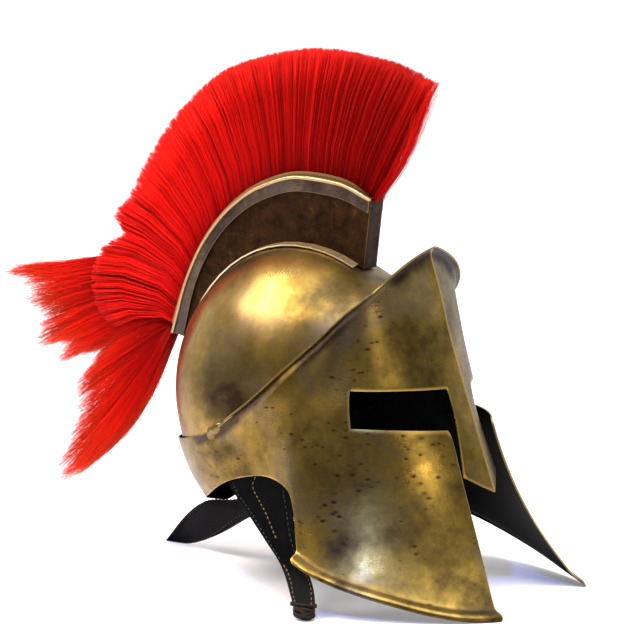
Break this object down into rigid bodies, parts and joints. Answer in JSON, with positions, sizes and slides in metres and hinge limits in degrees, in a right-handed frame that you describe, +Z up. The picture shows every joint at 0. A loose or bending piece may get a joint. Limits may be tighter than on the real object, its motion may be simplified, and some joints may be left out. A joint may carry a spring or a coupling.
{
  "type": "crested helmet",
  "caption": "Closed-face brass helmet with a keeled nose guard, long flared cheek guards and an upright red bristle crest on a sheet metal box.",
  "frame": {"origin": "on the surface that the helmet stands on, under the middle of its bounding box", "axes": "+Z up, the helmet faces -Y, the wearer's right side is -X"},
  "size_m": [0.3037, 0.5382, 0.4225],
  "materials": {
    "brass": "antiqued, mottled olive brown, lightly pitted",
    "skull_brass": "antiqued, polished over the crown",
    "dark_brass": "chemically darkened, dull",
    "pale_brass": "satin",
    "channel_brass": "satin, browned",
    "bristle": "straight dyed horsehair, slight gloss",
    "leather": "smooth black with tan edge stitching",
    "cord": "black leather thong, knotted"
  },
  "bodies": {
    "root": {"face_plate": "brass", "skull": "skull_brass", "crest_box": "dark_brass", "crest_band_right": "pale_brass", "crest_band_left": "pale_brass", "bristle_channel": "channel_brass", "brush_front": "bristle", "brush_rear": "bristle", "tail_upper": "bristle", "tail_lower": "bristle", "petal_near": "leather", "petal_far": "leather", "petal_back": "leather", "drawstring_knot": "cord"}
  },
  "joints": []
}
